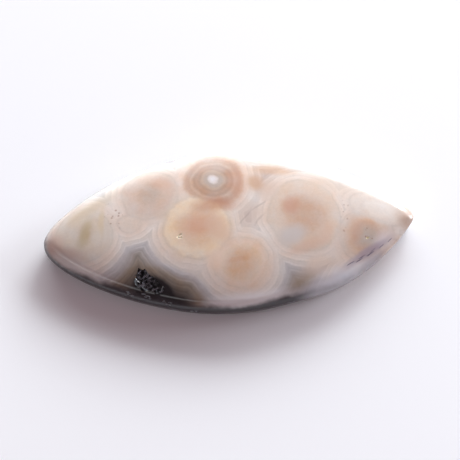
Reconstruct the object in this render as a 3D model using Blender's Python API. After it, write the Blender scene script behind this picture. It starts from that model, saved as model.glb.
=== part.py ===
# Ocean jasper cabochon: a freeform marquise stone, cut from one piece and polished, with a small
# open pocket of quartz points near its front shoulder.
# Metres, +Z up. The long axis is X, the front edge faces -Y, and the flat back lies at Z = 0.

import math
import random

import bmesh
import bpy
from mathutils import Matrix, Vector, noise

MM = 0.001

# Overall size of the stone
LENGTH = 50.0 * MM
WIDTH = 23.8 * MM
THICKNESS = 5.2 * MM

# The girdle is the widest line round the side. From it the wall leans in, down to the flat back
# and up to the shoulder, which is the edge of the polished top.
GIRDLE_HEIGHT = 2.1 * MM
BACK_INSET = 0.5 * MM
BACK_BEVEL = 0.3 * MM
LOWER_WALL_STEPS = 4
UPPER_WALL_STEPS = 6
UPPER_WALL_POWER = 1.8

# Plan of the stone, anticlockwise from its left tip: X and Y of a place on the girdle, and how
# far the edge of the domed top lies inside it there. All in millimetres.
PLAN = [
    (-25.1, 0.4, 1.0),  # left tip
    (-24.5, -2.0, 1.1),
    (-21.0, -5.1, 1.15),
    (-15.2, -8.2, 1.1),
    (-9.0, -10.4, 1.05),
    (-3.4, -11.5, 0.9),
    (2.4, -11.6, 0.8),  # front
    (6.6, -10.95, 1.05),
    (11.2, -9.95, 1.35),
    (14.6, -8.85, 1.5),
    (18.6, -6.45, 1.45),
    (22.2, -3.4, 1.25),
    (24.3, -1.1, 0.9),
    (25.1, 0.4, 0.75),  # right tip
    (23.6, 2.75, 0.8),
    (18.6, 6.55, 0.9),
    (11.0, 10.35, 0.9),
    (3.7, 12.0, 0.9),  # rear
    (-3.4, 12.0, 0.9),
    (-11.8, 9.9, 0.9),
    (-18.0, 7.1, 0.95),
    (-23.2, 3.2, 1.0),
]
POINTS_PER_SPAN = 6

# The shoulder is level over most of the stone and drops towards both tips, by these amounts.
SHOULDER_HEIGHT = 3.65 * MM
LEFT_TIP_DROP = 0.35 * MM
RIGHT_TIP_DROP = 1.2 * MM
TIP_DROP_POWER = 4

# The top is a low dome. Across the stone it rises from the shoulder by 1 - |v| ** DOME_POWER,
# where v goes from 0 on the crown line to 1 at the shoulder, so its rim slopes alike all round.
# The rings of the dome are the rim's own outline, scaled.
DOME_POWER = 2.4
DOME_RINGS = [0.985, 0.955, 0.91, 0.85, 0.77, 0.67, 0.55, 0.41, 0.26, 0.12]

# The open pocket near the front shoulder, as two hollows that run into one
POCKET_HOLLOWS = [
    {"place": (-11.75, -7.35), "size": (1.15, 1.55, 1.25), "turn": 24.0},
    {"place": (-10.65, -8.0), "size": (1.65, 0.85, 1.15), "turn": -36.0},
]
POCKET_RAGGEDNESS = 0.16
CHIP_RAGGEDNESS = 0.2
RAGGED_GRAIN = 2.3
POCKET_DETAIL = 3
CHIP_DETAIL = 2
PINHOLE_DETAIL = 1

# Small broken places. Pinholes and the chips along the front shoulder are placed by X and Y, and
# pits in the front wall by X and Z. Each then lies on the surface there.
PINHOLES = [
    {"place": (-6.8, -1.8), "size": (0.3, 0.24, 0.25), "turn": 30.0},
    {"place": (18.1, -3.4), "size": (0.26, 0.22, 0.22), "turn": 0.0},
]
SHOULDER_CHIPS = [
    {"place": (15.9, -6.85), "size": (0.95, 0.3, 0.28), "turn": 24.0},
    {"place": (17.6, -5.95), "size": (1.0, 0.34, 0.3), "turn": 30.0},
    {"place": (19.4, -4.85), "size": (0.9, 0.28, 0.26), "turn": 34.0},
]
WALL_PITS = [
    {"place": (-13.7, 2.9), "size": (0.4, 0.26, 0.22), "turn": -25.0},
    {"place": (-11.6, 3.1), "size": (0.6, 0.28, 0.24), "turn": -22.0},
    {"place": (-8.9, 2.9), "size": (0.6, 0.28, 0.26), "turn": -18.0},
    {"place": (-5.9, 2.2), "size": (0.85, 0.28, 0.3), "turn": -12.0},
    {"place": (-3.7, 1.1), "size": (0.5, 0.24, 0.16), "turn": -6.0},
    {"place": (7.2, 1.9), "size": (0.8, 0.28, 0.26), "turn": 15.0},
]

# The crust of quartz points in the pocket. It keeps a gap to the stone, and its points stay
# below the polished top.
CRUST_GAP = 0.3 * MM
CRUST_DEPTH = 0.5 * MM
QUARTZ_POINTS = 24
QUARTZ_SPREAD = 0.8
QUARTZ_RADIUS = (0.14 * MM, 0.26 * MM)
QUARTZ_SHAFT = (0.06 * MM, 0.2 * MM)
QUARTZ_TAPER = 0.94
QUARTZ_TIP = 1.15
QUARTZ_LEAN = (5.0, 26.0)  # degrees
QUARTZ_ROOT = 0.25 * MM
QUARTZ_SEED = 11

# Linear colours and roughness. Edges that bend by more than the sharp angle, in degrees, stay crisp.
JASPER_COLOUR = (0.56, 0.42, 0.32)
JASPER_ROUGHNESS = 0.12
QUARTZ_COLOUR = (0.30, 0.28, 0.27)
QUARTZ_ROUGHNESS = 0.05
SHARP_ANGLE = 30.0


def clear_scene():
    for obj in list(bpy.data.objects):
        bpy.data.objects.remove(obj, do_unlink=True)


def smooth_loop(knots):
    """A smooth closed curve through knots, which may have any number of coordinates."""
    loop = []
    count = len(knots)
    for i in range(count):
        before, start, end, after = (Vector(knots[(i + step) % count]) for step in (-1, 0, 1, 2))
        reach = (end - start).length
        lead_in = (end - before) * (reach / ((end - start).length + (start - before).length))
        lead_out = (after - start) * (reach / ((after - end).length + (end - start).length))
        for step in range(POINTS_PER_SPAN):
            t = step / POINTS_PER_SPAN
            loop.append(
                start * (2 * t**3 - 3 * t**2 + 1)
                + lead_in * (t**3 - 2 * t**2 + t)
                + end * (3 * t**2 - 2 * t**3)
                + lead_out * (t**3 - t**2)
            )
    return loop


def fitted(knots, length, width):
    """The knots moved and scaled in plan, so that the loop through them is length by width."""
    loop = smooth_loop(knots)
    low = Vector(min(p[axis] for p in loop) for axis in (0, 1))
    high = Vector(max(p[axis] for p in loop) for axis in (0, 1))
    middle = (low + high) / 2
    scale = (length / (high.x - low.x), width / (high.y - low.y))
    return [((p[0] - middle.x) * scale[0], (p[1] - middle.y) * scale[1]) for p in knots]


def inset_loop(knots, insets):
    """The smooth loop through anticlockwise knots that are each moved inwards by its own inset."""
    count = len(knots)
    moved = []
    for i in range(count):
        along = Vector(knots[(i + 1) % count]) - Vector(knots[i - 1])
        inwards = Vector((-along.y, along.x)).normalized()
        moved.append(Vector(knots[i]) + inwards * insets[i])
    return smooth_loop(moved)


def shoulder_height(x):
    drop = LEFT_TIP_DROP if x < 0 else RIGHT_TIP_DROP
    return SHOULDER_HEIGHT - drop * abs(2 * x / LENGTH) ** TIP_DROP_POWER


def edges_at(loop, x):
    """The lowest and highest Y at which a closed loop crosses X."""
    crossings = []
    for start, end in zip(loop, loop[1:] + loop[:1]):
        if (start.x - x) * (end.x - x) <= 0 and start.x != end.x:
            crossings.append(start.y + (end.y - start.y) * (x - start.x) / (end.x - start.x))
    return min(crossings), max(crossings)


def dome_point(rim, x, y):
    """The place on the domed top over X and Y, which lie inside the rim of the dome."""
    front, rear = edges_at(rim, x)
    full_width = max(p.y for p in rim) - min(p.y for p in rim)
    rise = (THICKNESS - SHOULDER_HEIGHT) * (rear - front) / full_width
    v = min(abs(2 * y - front - rear) / (rear - front), 1)
    return Vector((x, y, shoulder_height(x) + rise * (1 - v**DOME_POWER)))


def ring_between(outer, inner, share, height_at):
    """A ring that lies between two loops of the plan, by its share of the way inwards."""
    ring = []
    for start, end in zip(outer, inner):
        x, y = start.lerp(end, share)
        ring.append(Vector((x, y, height_at(x))))
    return ring


def stone_rings():
    """Closed rings of points from the flat back, round the side wall and up over the dome."""
    knots = fitted([place[:2] for place in PLAN], LENGTH, WIDTH)
    girdle = inset_loop(knots, [0] * len(knots))
    back = inset_loop(knots, [BACK_INSET + BACK_BEVEL] * len(knots))
    shoulder = inset_loop(knots, [place[2] * MM for place in PLAN])
    rings = [ring_between(girdle, back, 1, lambda x: 0.0)]
    foot_share = BACK_INSET / (BACK_INSET + BACK_BEVEL)
    for step in range(LOWER_WALL_STEPS + 1):
        t = step / LOWER_WALL_STEPS
        height = BACK_BEVEL + (GIRDLE_HEIGHT - BACK_BEVEL) * t
        share = foot_share * (1 - math.sin(t * math.pi / 2))
        rings.append(ring_between(girdle, back, share, lambda x: height))
    for step in range(1, UPPER_WALL_STEPS + 1):
        t = step / UPPER_WALL_STEPS
        share = t**UPPER_WALL_POWER
        rings.append(
            ring_between(
                girdle,
                shoulder,
                share,
                lambda x: GIRDLE_HEIGHT + (shoulder_height(x) - GIRDLE_HEIGHT) * t,
            )
        )
    rim = rings[-1]
    for s in DOME_RINGS:
        rings.append([dome_point(rim, p.x * s, p.y * s) for p in rim])
    return rings


def new_object(name, mesh_edit):
    mesh = bpy.data.meshes.new(name)
    mesh_edit.to_mesh(mesh)
    mesh_edit.free()
    obj = bpy.data.objects.new(name, mesh)
    bpy.context.scene.collection.objects.link(obj)
    return obj


def make_helper(obj):
    """Keeps an object that only shapes another one out of the model."""
    obj.hide_render = True
    obj.display_type = "WIRE"
    return obj


def add_stone():
    edit = bmesh.new()
    rings = [[edit.verts.new(p) for p in ring] for ring in stone_rings()]
    count = len(rings[0])
    for low, high in zip(rings, rings[1:]):
        for i in range(count):
            after = (i + 1) % count
            edit.faces.new((low[i], low[after], high[after], high[i]))
    back = edit.verts.new((0, 0, 0))
    crown = edit.verts.new((0, 0, THICKNESS))
    for i in range(count):
        after = (i + 1) % count
        edit.faces.new((rings[0][after], rings[0][i], back))
        edit.faces.new((rings[-1][i], rings[-1][after], crown))
    bmesh.ops.recalc_face_normals(edit, faces=edit.faces)
    return new_object("cabochon", edit)


def on_top(stone, place):
    """The point of the polished top over a place in plan, given in millimetres."""
    x, y = (value * MM for value in place)
    _, point, _, _ = stone.ray_cast(Vector((x, y, 2 * THICKNESS)), Vector((0, 0, -1)))
    return point


def on_front_wall(stone, place):
    """The point of the front wall at an X and a height, given in millimetres."""
    x, z = (value * MM for value in place)
    _, point, _, _ = stone.ray_cast(Vector((x, -WIDTH, z)), Vector((0, 1, 0)))
    return point


def lump(place, size, turn, raggedness, detail):
    """A closed, uneven lump with its middle at a place. Size is its three half-widths in mm."""
    edit = bmesh.new()
    bmesh.ops.create_icosphere(edit, subdivisions=detail, radius=1.0)
    for vert in edit.verts:
        vert.co *= 1 + raggedness * noise.noise(vert.co * RAGGED_GRAIN + place / MM)
        vert.co = Vector(vert.co[axis] * size[axis] * MM for axis in range(3))
    placing = Matrix.Translation(place) @ Matrix.Rotation(math.radians(turn), 4, "Z")
    bmesh.ops.transform(edit, matrix=placing, verts=edit.verts)
    return edit


def add_hollow_cutters(stone):
    """One helper for each hollow, pit and chip that is missing from the stone."""
    kinds = [
        ("pocket_hollow", POCKET_HOLLOWS, on_top, POCKET_RAGGEDNESS, POCKET_DETAIL),
        ("pinhole", PINHOLES, on_top, CHIP_RAGGEDNESS, PINHOLE_DETAIL),
        ("shoulder_chip", SHOULDER_CHIPS, on_top, CHIP_RAGGEDNESS, CHIP_DETAIL),
        ("wall_pit", WALL_PITS, on_front_wall, CHIP_RAGGEDNESS, CHIP_DETAIL),
    ]
    cutters = []
    for kind, shapes, surface, raggedness, detail in kinds:
        for i, shape in enumerate(shapes):
            place = surface(stone, shape["place"])
            edit = lump(place, shape["size"], shape["turn"], raggedness, detail)
            cutters.append(make_helper(new_object(f"{kind}_{i}", edit)))
    return cutters


def cut_hollows(stone, cutters):
    group = bpy.data.collections.new("hollow_cutters")
    bpy.context.scene.collection.children.link(group)
    for cutter in cutters:
        bpy.context.scene.collection.objects.unlink(cutter)
        group.objects.link(cutter)
    boolean = stone.modifiers.new("hollows", "BOOLEAN")
    boolean.operation = "DIFFERENCE"
    boolean.solver = "EXACT"
    boolean.operand_type = "COLLECTION"
    boolean.collection = group


def crust_bed(place, hollow):
    """The part of the crust that lies along the floor of one hollow, flat on top."""
    size = [half_width - CRUST_GAP / MM for half_width in hollow["size"]]
    edit = lump(place, size, hollow["turn"], POCKET_RAGGEDNESS, CHIP_DETAIL)
    bmesh.ops.bisect_plane(
        edit,
        geom=edit.verts[:] + edit.edges[:] + edit.faces[:],
        plane_co=place - Vector((0, 0, CRUST_DEPTH)),
        plane_no=(0, 0, 1),
        clear_outer=True,
    )
    rim = [edge for edge in edit.edges if edge.is_boundary]
    bmesh.ops.contextual_create(edit, geom=rim)
    return edit


def add_quartz_point(edit, root, direction, radius, shaft):
    """One quartz crystal: a six-sided shaft that ends in a six-sided pyramid."""
    length = QUARTZ_ROOT + shaft
    made = bmesh.ops.create_cone(
        edit,
        cap_ends=True,
        segments=6,
        radius1=radius,
        radius2=radius * QUARTZ_TAPER,
        depth=length,
    )
    faces = {face for vert in made["verts"] for face in vert.link_faces}
    top = max(faces, key=lambda face: face.calc_center_median().z)
    tip = bmesh.ops.poke(edit, faces=[top], offset=radius * QUARTZ_TIP)
    upright = Vector((0, 0, 1)).rotation_difference(direction).to_matrix().to_4x4()
    stand = Matrix.Translation((0, 0, length / 2 - QUARTZ_ROOT))
    bmesh.ops.transform(
        edit,
        matrix=Matrix.Translation(root) @ upright @ stand,
        verts=made["verts"] + tip["verts"],
    )


def quartz_points(places):
    """The crystals that stand on the beds of the crust and lean towards the pocket's middle."""
    chance = random.Random(QUARTZ_SEED)
    middle = sum(places, Vector()) / len(places)
    edit = bmesh.new()
    for i in range(QUARTZ_POINTS):
        hollow = POCKET_HOLLOWS[i % len(places)]
        place = places[i % len(places)]
        radius = chance.uniform(*QUARTZ_RADIUS)
        reach = math.sqrt(chance.random()) * QUARTZ_SPREAD
        angle = chance.uniform(0, 2 * math.pi)
        half_widths = [half_width * MM - CRUST_GAP for half_width in hollow["size"]]
        across = Vector(
            (
                math.cos(angle) * (reach * half_widths[0] - radius),
                math.sin(angle) * (reach * half_widths[1] - radius),
                -CRUST_DEPTH,
            )
        )
        root = place + Matrix.Rotation(math.radians(hollow["turn"]), 3, "Z") @ across
        lean = math.radians(chance.uniform(*QUARTZ_LEAN))
        inwards = (middle - root).to_2d().normalized() * math.sin(lean)
        direction = Vector((inwards.x, inwards.y, math.cos(lean)))
        add_quartz_point(edit, root, direction, radius, chance.uniform(*QUARTZ_SHAFT))
    return edit


def fuse(obj, helper):
    union = obj.modifiers.new("fuse_" + helper.name, "BOOLEAN")
    union.operation = "UNION"
    union.solver = "EXACT"
    union.use_self = True
    union.object = helper


def add_crust(stone):
    places = [on_top(stone, hollow["place"]) for hollow in POCKET_HOLLOWS]
    beds = [
        new_object(f"crust_bed_{i}", crust_bed(place, hollow))
        for i, (place, hollow) in enumerate(zip(places, POCKET_HOLLOWS))
    ]
    crust = beds[0]
    crust.name = "pocket_crystals"
    for bed in beds[1:]:
        fuse(crust, make_helper(bed))
    fuse(crust, make_helper(new_object("quartz_points", quartz_points(places))))
    return crust


def give_material(obj, name, colour, roughness):
    material = bpy.data.materials.new(name)
    material.use_nodes = True
    shader = material.node_tree.nodes["Principled BSDF"]
    shader.inputs["Base Color"].default_value = (*colour, 1)
    shader.inputs["Roughness"].default_value = roughness
    shader.inputs["Metallic"].default_value = 0.0
    obj.data.materials.append(material)


def shade_polished(stone):
    stone.data.shade_smooth()
    stone.data.set_sharp_from_angle(angle=math.radians(SHARP_ANGLE))


def main():
    clear_scene()
    stone = add_stone()
    bpy.context.view_layer.update()
    crust = add_crust(stone)
    cut_hollows(stone, add_hollow_cutters(stone))
    shade_polished(stone)
    give_material(stone, "polished_jasper", JASPER_COLOUR, JASPER_ROUGHNESS)
    give_material(crust, "quartz_crystal", QUARTZ_COLOUR, QUARTZ_ROUGHNESS)


main()
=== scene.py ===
import math
import random

import bmesh
import bpy
from mathutils import Matrix, Vector, noise
from mathutils.bvhtree import BVHTree


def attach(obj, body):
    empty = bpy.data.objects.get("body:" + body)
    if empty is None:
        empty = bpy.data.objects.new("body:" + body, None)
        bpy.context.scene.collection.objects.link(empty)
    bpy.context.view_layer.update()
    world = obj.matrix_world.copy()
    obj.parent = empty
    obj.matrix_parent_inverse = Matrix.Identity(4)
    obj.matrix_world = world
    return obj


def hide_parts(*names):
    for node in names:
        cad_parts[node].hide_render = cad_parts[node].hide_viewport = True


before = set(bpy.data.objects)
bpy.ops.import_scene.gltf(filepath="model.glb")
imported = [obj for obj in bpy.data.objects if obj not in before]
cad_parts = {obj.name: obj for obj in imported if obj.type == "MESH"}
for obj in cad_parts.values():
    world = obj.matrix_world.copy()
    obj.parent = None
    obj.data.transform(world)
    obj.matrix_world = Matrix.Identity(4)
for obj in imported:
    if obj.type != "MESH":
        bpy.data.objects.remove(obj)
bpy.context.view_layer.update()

mm = 0.001


def deselectAll():
    bpy.ops.object.select_all(action="DESELECT")


def makeActive(piece):
    deselectAll()
    piece.select_set(True)
    bpy.context.view_layer.objects.active = piece


# The stone's shape follows the same rules as the solid, drawn much finer, so that the polish
# shows no facets. Lengths are mm.
stoneShape = {
    "length": 50.0,
    "width": 23.8,
    "thickness": 5.2,
    "girdleHeight": 2.1,
    "backInset": 0.5,
    "backBevel": 0.3,
    "shoulderHeight": 3.65,
    "leftTipDrop": 0.35,
    "rightTipDrop": 1.2,
    "tipDropPower": 4,
    "domePower": 2.4,
    "wallPower": 1.8,
    "shoulderBevel": 0.27,
    "bevelSegments": 5,
    "smoothAngle": 32,
    # X and Y on the girdle, and how far the shoulder lies inside it, from the left tip round the front
    "plan": [
        (-25.1, 0.4, 1.0),
        (-24.5, -2.0, 1.1),
        (-21.0, -5.1, 1.15),
        (-15.2, -8.2, 1.1),
        (-9.0, -10.4, 1.05),
        (-3.4, -11.5, 0.9),
        (2.4, -11.6, 0.8),
        (6.6, -10.95, 1.05),
        (11.2, -9.95, 1.35),
        (14.6, -8.85, 1.5),
        (18.6, -6.45, 1.45),
        (22.2, -3.4, 1.25),
        (24.3, -1.1, 0.9),
        (25.1, 0.4, 0.75),
        (23.6, 2.75, 0.8),
        (18.6, 6.55, 0.9),
        (11.0, 10.35, 0.9),
        (3.7, 12.0, 0.9),
        (-3.4, 12.0, 0.9),
        (-11.8, 9.9, 0.9),
        (-18.0, 7.1, 0.95),
        (-23.2, 3.2, 1.0),
    ],
    "pointsPerSpan": 20,
    "lowerWallRings": 5,
    "upperWallRings": 8,
    "domeRings": 34,
    "firstDomeRing": 0.97,
    "backRings": [0.9, 0.6, 0.3],
}


def smoothLoop(knots):
    # a closed curve through the knots, with leads that suit their uneven spacing
    loop = []
    count = len(knots)
    perSpan = stoneShape["pointsPerSpan"]
    for i in range(count):
        before, start, end, after = (Vector(knots[(i + s) % count]) for s in (-1, 0, 1, 2))
        reach = (end - start).length
        leadIn = (end - before) * (reach / (reach + (start - before).length))
        leadOut = (after - start) * (reach / ((after - end).length + reach))
        for step in range(perSpan):
            t = step / perSpan
            loop.append(
                start * (2 * t**3 - 3 * t**2 + 1)
                + leadIn * (t**3 - 2 * t**2 + t)
                + end * (3 * t**2 - 2 * t**3)
                + leadOut * (t**3 - t**2)
            )
    return loop


def insetLoop(knots, insets):
    moved = []
    for i, knot in enumerate(knots):
        along = Vector(knots[(i + 1) % len(knots)]) - Vector(knots[i - 1])
        inwards = Vector((-along.y, along.x)).normalized()
        moved.append(Vector(knot) + inwards * insets[i])
    return smoothLoop(moved)


def planKnots():
    # moved and scaled so that the smooth outline is exactly as long and wide as the stone
    knots = [row[:2] for row in stoneShape["plan"]]
    loop = smoothLoop(knots)
    low = [min(p[axis] for p in loop) for axis in (0, 1)]
    high = [max(p[axis] for p in loop) for axis in (0, 1)]
    middle = [(low[axis] + high[axis]) / 2 for axis in (0, 1)]
    span = [high[axis] - low[axis] for axis in (0, 1)]
    size = (stoneShape["length"], stoneShape["width"])
    return [
        tuple((knot[axis] - middle[axis]) * size[axis] / span[axis] for axis in (0, 1))
        for knot in knots
    ]


def shoulderZ(x):
    # level along the middle, and lower towards the tips
    drop = stoneShape["leftTipDrop"] if x < 0 else stoneShape["rightTipDrop"]
    towardsTip = abs(2 * x / stoneShape["length"])
    return stoneShape["shoulderHeight"] - drop * towardsTip ** stoneShape["tipDropPower"]


def edgesAt(loop, x):
    # the loop's front and rear Y at one X
    ys = []
    for start, end in zip(loop, loop[1:] + loop[:1]):
        if (start.x - x) * (end.x - x) <= 0 and start.x != end.x:
            ys.append(start.y + (end.y - start.y) * (x - start.x) / (end.x - start.x))
    return min(ys), max(ys)


def stoneRings():
    shape = stoneShape
    knots = planKnots()
    girdle = insetLoop(knots, [0] * len(knots))
    back = insetLoop(knots, [shape["backInset"] + shape["backBevel"]] * len(knots))
    rim = insetLoop(knots, [row[2] for row in shape["plan"]])
    rings = [[(p.x, p.y, 0) for p in back]]
    footShare = shape["backInset"] / (shape["backInset"] + shape["backBevel"])
    for step in range(shape["lowerWallRings"] + 1):
        t = step / shape["lowerWallRings"]
        height = shape["backBevel"] + (shape["girdleHeight"] - shape["backBevel"]) * t
        share = footShare * (1 - math.sin(t * math.pi / 2))
        rings.append([(*a.lerp(b, share), height) for a, b in zip(girdle, back)])
    for step in range(1, shape["upperWallRings"] + 1):
        t = step / shape["upperWallRings"]
        ring = []
        for a, b in zip(girdle, rim):
            x, y = a.lerp(b, t ** shape["wallPower"])
            ring.append((x, y, shape["girdleHeight"] + (shoulderZ(x) - shape["girdleHeight"]) * t))
        rings.append(ring)
    rimWidth = max(p.y for p in rim) - min(p.y for p in rim)
    spans = {}
    start = math.acos(shape["firstDomeRing"])
    for step in range(shape["domeRings"]):
        # closest together near the rim
        share = math.cos(start + (math.pi / 2 - start) * step / shape["domeRings"])
        ring = []
        for p in rim:
            x, y = p.x * share, p.y * share
            key = round(x, 3)
            if key not in spans:
                spans[key] = edgesAt(rim, key)
            front, rear = spans[key]
            v = min(abs(2 * y - front - rear) / max(rear - front, 0.001), 1)
            rise = (shape["thickness"] - shape["shoulderHeight"]) * (rear - front) / rimWidth
            ring.append((x, y, shoulderZ(x) + rise * (1 - v ** shape["domePower"])))
        rings.append(ring)
    return rings


def placeSelected(piece, places):
    # puts the selected ring of points, in the order they were made, on its places
    edit = bmesh.from_edit_mesh(piece.data)
    edit.verts.ensure_lookup_table()
    ring = [vert for vert in edit.verts if vert.select]
    for vert, place in zip(ring, places):
        vert.co = Vector(place) * mm
    bmesh.update_edit_mesh(piece.data)


def bevelShoulder(stone, rings):
    # the polisher's wheel leaves the edge of the top a little soft
    rim = stoneShape["lowerWallRings"] + 1 + stoneShape["upperWallRings"]
    count = len(rings[0])
    edit = bmesh.from_edit_mesh(stone.data)
    edit.verts.ensure_lookup_table()
    onRim = set(range(rim * count, (rim + 1) * count))
    for edge in edit.edges:
        edge.select_set(all(vert.index in onRim for vert in edge.verts))
    bmesh.update_edit_mesh(stone.data)
    bevel = stoneShape["shoulderBevel"] * mm
    bpy.ops.mesh.bevel(offset=bevel, segments=stoneShape["bevelSegments"], affect="EDGES")


def modelStone():
    rings = stoneRings()
    deselectAll()
    # a plain ring to start from, whose points then take their places on the back's edge
    bpy.ops.mesh.primitive_circle_add(vertices=len(rings[0]), radius=10 * mm, location=(0, 0, 0))
    stone = bpy.context.object
    stone.name = "polishedStone"
    bpy.ops.object.mode_set(mode="EDIT")
    bpy.ops.mesh.select_all(action="SELECT")
    placeSelected(stone, rings[0])
    for ring in rings[1:]:
        bpy.ops.mesh.extrude_edges_move()
        placeSelected(stone, ring)
    bpy.ops.mesh.edge_face_add()  # the crown closes with one small cap
    bpy.ops.mesh.poke()
    bpy.ops.mesh.select_all(action="DESELECT")
    edit = bmesh.from_edit_mesh(stone.data)
    for edge in edit.edges:
        edge.select_set(edge.is_boundary)
    bmesh.update_edit_mesh(stone.data)
    share = 1.0
    for nextShare in stoneShape["backRings"]:  # and the flat back with rings that shrink to its middle
        bpy.ops.mesh.extrude_edges_move()
        shrink = (nextShare / share, nextShare / share, 1)
        bpy.ops.transform.resize(value=shrink, center_override=(0, 0, 0))
        share = nextShare
    bpy.ops.mesh.edge_face_add()
    bpy.ops.mesh.poke()
    bpy.ops.mesh.select_all(action="SELECT")
    bpy.ops.mesh.normals_make_consistent(inside=False)
    bevelShoulder(stone, rings)
    bpy.ops.object.mode_set(mode="OBJECT")
    return stone


stone = modelStone()
print("stone modelled:", len(stone.data.polygons), "faces")


# The open pocket, and small broken places. at is X and Y on the top, or X and Z on the front
# wall; size is half sizes in mm, turn is degrees, and ragged is how uneven the broken ground is.
hollowShape = {
    "grain": [(2.3, 1.0), (6.5, 0.6)],  # how fine each roughness is, and its share
    "castFrom": {"top": 20, "wall": -30},  # mm, well outside the stone
    "pocket": {
        "surface": "top",
        "ragged": 0.2,
        "detail": 5,
        "lumps": [
            {"at": (-11.75, -7.35), "size": (1.15, 1.55, 1.25), "turn": 24},
            {"at": (-10.65, -8.0), "size": (1.65, 0.85, 1.15), "turn": -36},
        ],
    },
    "pinhole": {
        "surface": "top",
        "ragged": 0.4,
        "detail": 4,
        "lumps": [
            {"at": (-6.75, -1.7), "size": (0.38, 0.13, 0.1), "turn": 30},
            {"at": (-6.8, -1.98), "size": (0.36, 0.11, 0.09), "turn": -14},
            {"at": (18.1, -3.4), "size": (0.24, 0.18, 0.16), "turn": 0},
        ],
    },
    "shoulderChip": {
        "surface": "top",
        "ragged": 0.4,
        "detail": 4,
        "lumps": [
            {"at": (15.5, -6.75), "size": (1.0, 0.06, 0.05), "turn": 25},
            {"at": (16.7, -6.35), "size": (0.8, 0.08, 0.06), "turn": 27},
            {"at": (17.1, -5.9), "size": (1.3, 0.06, 0.05), "turn": 30},
            {"at": (18.3, -5.45), "size": (1.0, 0.09, 0.07), "turn": 30},
            {"at": (18.7, -4.95), "size": (1.2, 0.05, 0.04), "turn": 34},
            {"at": (19.9, -4.4), "size": (0.9, 0.07, 0.05), "turn": 35},
            {"at": (21.2, -3.5), "size": (0.8, 0.05, 0.04), "turn": 38},
        ],
    },
    "wallPit": {
        "surface": "wall",
        "ragged": 0.5,
        "detail": 3,
        "flecks": {
            "seed": 3, "each": 6, "spread": 0.8, "along": (0.1, 0.3), "thick": (0.05, 0.1),
            "follow": 0.5, "sway": 12,
        },
        "lumps": [
            {"at": (-13.7, 2.9), "size": (0.4, 0.26, 0.22), "turn": -25},
            {"at": (-11.6, 3.1), "size": (0.6, 0.28, 0.24), "turn": -22},
            {"at": (-8.9, 2.9), "size": (0.6, 0.28, 0.26), "turn": -18},
            {"at": (-5.9, 2.2), "size": (0.85, 0.28, 0.3), "turn": -12},
            {"at": (-3.7, 1.1), "size": (0.5, 0.24, 0.16), "turn": -6},
            {"at": (7.2, 1.9), "size": (0.8, 0.28, 0.26), "turn": 15},
        ],
    },
}


def breakUp(settings):
    # a porous spot isn't one pit but a scatter of small flecks inside its outline
    flecks = settings["flecks"]
    dice = random.Random(flecks["seed"])
    lumps = []
    for spot in settings["lumps"]:
        for number in range(flecks["each"]):
            along = dice.uniform(-1, 1) * spot["size"][0] * flecks["spread"]
            up = dice.uniform(-1, 1) * spot["size"][2] * flecks["spread"]
            tilt = math.tan(math.radians(spot["turn"])) * along
            thick = dice.uniform(*flecks["thick"])
            lumps.append({
                "at": (spot["at"][0] + along, spot["at"][1] + up + tilt * flecks["follow"]),
                "size": (dice.uniform(*flecks["along"]), thick, thick),
                "turn": spot["turn"] + dice.uniform(-flecks["sway"], flecks["sway"]),
            })
    return lumps


def surfacePoint(surface, at):
    away = hollowShape["castFrom"][surface]
    if surface == "top":
        start, towards = Vector((at[0], at[1], away)) * mm, Vector((0, 0, -1))
    else:
        start, towards = Vector((at[0], away, at[1])) * mm, Vector((0, 1, 0))
    return stone.ray_cast(start, towards)[1]


def addLump(kind, lump, settings):
    place = surfacePoint(settings["surface"], lump["at"])
    deselectAll()
    bpy.ops.mesh.primitive_ico_sphere_add(subdivisions=settings["detail"], radius=1)
    cutter = bpy.context.object
    cutter.name = kind
    placing = Matrix.Translation(place) @ Matrix.Rotation(math.radians(lump["turn"]), 4, "Z")
    grain = hollowShape["grain"]
    for vert in cutter.data.vertices:
        rough = sum(share * noise.noise(vert.co * scale + place / mm) for scale, share in grain)
        swell = 1 + settings["ragged"] * rough
        scaled = [vert.co[axis] * swell * lump["size"][axis] * mm for axis in range(3)]
        vert.co = placing @ Vector(scaled)
    marker = bpy.data.materials.get(kind) or bpy.data.materials.new(kind)
    cutter.data.materials.append(marker)
    return cutter


def cutHollows():
    # marker materials tell later on which hollow a cut face belongs to
    stone.data.materials.append(bpy.data.materials.new("polish"))
    cutters = []
    for kind in ("pocket", "pinhole", "shoulderChip", "wallPit"):
        settings = hollowShape[kind]
        for lump in breakUp(settings) if "flecks" in settings else settings["lumps"]:
            cutters.append(addLump(kind, lump, settings))
    group = bpy.data.collections.new("hollowCutters")
    bpy.context.scene.collection.children.link(group)
    for cutter in cutters:
        group.objects.link(cutter)
    makeActive(stone)
    cut = stone.modifiers.new("hollows", "BOOLEAN")
    cut.operation = "DIFFERENCE"
    cut.solver = "EXACT"
    cut.operand_type = "COLLECTION"
    cut.collection = group
    cut.material_mode = "TRANSFER"
    bpy.ops.object.modifier_apply(modifier=cut.name)
    for cutter in cutters:
        bpy.data.objects.remove(cutter)
    bpy.data.collections.remove(group)


polishedTop = BVHTree.FromObject(stone, bpy.context.evaluated_depsgraph_get())  # before any cut
cutHollows()
print("hollows cut:", len(stone.data.polygons), "faces")


# What the raw surface in each hollow looks like: its colour, and how rough it is
rawSurface = {
    "pocket": {"colour": "131316", "rough": 0.3},
    "pinhole": {"colour": "efe3cc", "rough": 0.5},
    "shoulderChip": {"colour": "8f8490", "rough": 0.5},
    "wallPit": {"colour": "8b9095", "rough": 0.4},
}


def linearColour(hexText, alpha=1.0):
    channels = [int(hexText[i : i + 2], 16) / 255 for i in (0, 2, 4)]
    return (*[c / 12.92 if c <= 0.04045 else ((c + 0.055) / 1.055) ** 2.4 for c in channels], alpha)


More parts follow.
